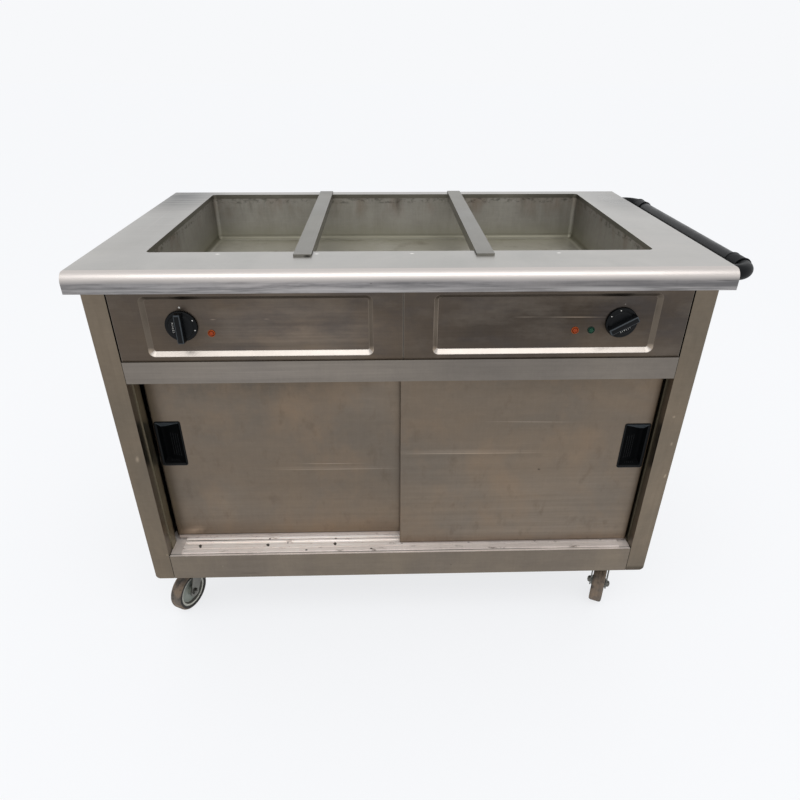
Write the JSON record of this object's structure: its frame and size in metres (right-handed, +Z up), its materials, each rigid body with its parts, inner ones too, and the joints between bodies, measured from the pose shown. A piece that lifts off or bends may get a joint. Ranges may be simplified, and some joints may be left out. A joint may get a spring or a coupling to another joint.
{
  "type": "hostess trolley",
  "caption": "Mobile stainless hot cupboard with a divided bain-marie well on top, sliding doors, control panel, push handle and swivel castors",
  "frame": {"origin": "on the floor, under the middle of the whole trolley's bounding box, push handle included", "axes": "+X to the right along the length, towards the push handle; -Y is the front with the doors and knobs; +Z up"},
  "size_m": [1.265, 0.7, 0.904],
  "materials": {
    "worktop_steel": "satin, wiped",
    "well_steel": "satin, stained",
    "shell_steel": "satin, directional grain",
    "panel_steel": "satin, directional grain",
    "inner_steel": "dull",
    "bar_steel": "satin, worn",
    "track_aluminium": "mill finish",
    "zinc_steel": "zinc plated",
    "element_metal": "dark oxide",
    "black_plastic": "semi-gloss",
    "handle_black": "semi-gloss",
    "amber_lens": "clear-tinted",
    "green_lens": "clear-tinted",
    "nylon": "matt",
    "thermostat_body": "plated",
    "hub_plastic": "matt",
    "tyre_rubber": "matt, dirty"
  },
  "bodies": {
    "trolley": {"worktop": "worktop_steel", "well_tank": "well_steel", "well_element": "element_metal", "ceiling_pan": "inner_steel", "side_panel_left": "shell_steel", "side_panel_right": "shell_steel", "back_panel": "shell_steel", "control_panel_left": "panel_steel", "control_panel_right": "panel_steel", "header_rail": "shell_steel", "plinth_rail": "shell_steel", "base_pan": "inner_steel", "chassis_bearers": "zinc_steel", "liner_left": "inner_steel", "liner_right": "inner_steel", "liner_back": "inner_steel", "shelf": "inner_steel", "shelf_brackets": "zinc_steel", "cupboard_element": "element_metal", "cable_gland": "black_plastic", "door_top_track": "track_aluminium", "door_bottom_track": "track_aluminium", "track_rivets": "zinc_steel", "door_channel_left": "shell_steel", "door_channel_right": "shell_steel", "thermostat_left": "thermostat_body", "thermostat_right": "thermostat_body", "lamp_amber_left": "amber_lens", "lamp_amber_right": "amber_lens", "lamp_green_right": "green_lens", "handle_bracket_front": "black_plastic", "handle_bracket_rear": "black_plastic", "handle_tube": "handle_black", "handle_screws": "zinc_steel", "castor_plates": "zinc_steel", "castor_bolts": "zinc_steel"},
    "divider_bar_left": {"divider_bar_left": "bar_steel"},
    "divider_bar_right": {"divider_bar_right": "bar_steel"},
    "door_left": {"door_left_skin": "shell_steel", "door_left_back": "inner_steel", "door_left_pull": "black_plastic", "door_left_guides": "nylon"},
    "door_right": {"door_right_skin": "shell_steel", "door_right_back": "inner_steel", "door_right_pull": "black_plastic", "door_right_guides": "nylon"},
    "knob_left": {"knob_left": "black_plastic"},
    "knob_right": {"knob_right": "black_plastic"},
    "castor_front_left_swivel": {"castor_fork_front_left": "zinc_steel"},
    "castor_front_left_wheel": {"castor_hub_front_left": "hub_plastic", "castor_tyre_front_left": "tyre_rubber"},
    "castor_front_right_swivel": {"castor_fork_front_right": "zinc_steel"},
    "castor_front_right_wheel": {"castor_hub_front_right": "hub_plastic", "castor_tyre_front_right": "tyre_rubber"},
    "castor_rear_left_swivel": {"castor_fork_rear_left": "zinc_steel"},
    "castor_rear_left_wheel": {"castor_hub_rear_left": "hub_plastic", "castor_tyre_rear_left": "tyre_rubber"},
    "castor_rear_right_swivel": {"castor_fork_rear_right": "zinc_steel"},
    "castor_rear_right_wheel": {"castor_hub_rear_right": "hub_plastic", "castor_tyre_rear_right": "tyre_rubber"}
  },
  "joints": [
    {"name": "divider_bar_left_lift", "type": "slide", "parent": "trolley", "child": "divider_bar_left", "axis": [0, 0, 1], "range_m": [0, 0.12]},
    {"name": "divider_bar_right_lift", "type": "slide", "parent": "trolley", "child": "divider_bar_right", "axis": [0, 0, 1], "range_m": [0, 0.12]},
    {"name": "door_left_slide", "type": "slide", "parent": "trolley", "child": "door_left", "axis": [1, 0, 0], "range_m": [0, 0.52]},
    {"name": "door_right_slide", "type": "slide", "parent": "trolley", "child": "door_right", "axis": [-1, 0, 0], "range_m": [0, 0.52]},
    {"name": "knob_left_turn", "type": "hinge", "parent": "trolley", "child": "knob_left", "pos_m": [-0.4455, -0.33, 0.789], "axis": [0, 1, 0], "range_deg": [0, 300]},
    {"name": "knob_right_turn", "type": "hinge", "parent": "trolley", "child": "knob_right", "pos_m": [0.3805, -0.33, 0.789], "axis": [0, 1, 0], "range_deg": [-240, 60]},
    {"name": "castor_front_left_swivel_turn", "type": "hinge", "parent": "trolley", "child": "castor_front_left_swivel", "pos_m": [-0.556, -0.235, 0.12], "axis": [0, 0, 1], "continuous": true},
    {"name": "castor_front_left_wheel_spin", "type": "hinge", "parent": "castor_front_left_swivel", "child": "castor_front_left_wheel", "pos_m": [-0.57121, -0.26763, 0.05], "axis": [0.9063, -0.4226, 0], "continuous": true},
    {"name": "castor_front_right_swivel_turn", "type": "hinge", "parent": "trolley", "child": "castor_front_right_swivel", "pos_m": [0.491, -0.235, 0.12], "axis": [0, 0, 1], "continuous": true},
    {"name": "castor_front_right_wheel_spin", "type": "hinge", "parent": "castor_front_right_swivel", "child": "castor_front_right_wheel", "pos_m": [0.47579, -0.26763, 0.05], "axis": [0.9063, -0.4226, 0], "continuous": true},
    {"name": "castor_rear_left_swivel_turn", "type": "hinge", "parent": "trolley", "child": "castor_rear_left_swivel", "pos_m": [-0.556, 0.235, 0.12], "axis": [0, 0, 1], "continuous": true},
    {"name": "castor_rear_left_wheel_spin", "type": "hinge", "parent": "castor_rear_left_swivel", "child": "castor_rear_left_wheel", "pos_m": [-0.57121, 0.20237, 0.05], "axis": [0.9063, -0.4226, 0], "continuous": true},
    {"name": "castor_rear_right_swivel_turn", "type": "hinge", "parent": "trolley", "child": "castor_rear_right_swivel", "pos_m": [0.491, 0.235, 0.12], "axis": [0, 0, 1], "continuous": true},
    {"name": "castor_rear_right_wheel_spin", "type": "hinge", "parent": "castor_rear_right_swivel", "child": "castor_rear_right_wheel", "pos_m": [0.47579, 0.20237, 0.05], "axis": [0.9063, -0.4226, 0], "continuous": true}
  ]
}
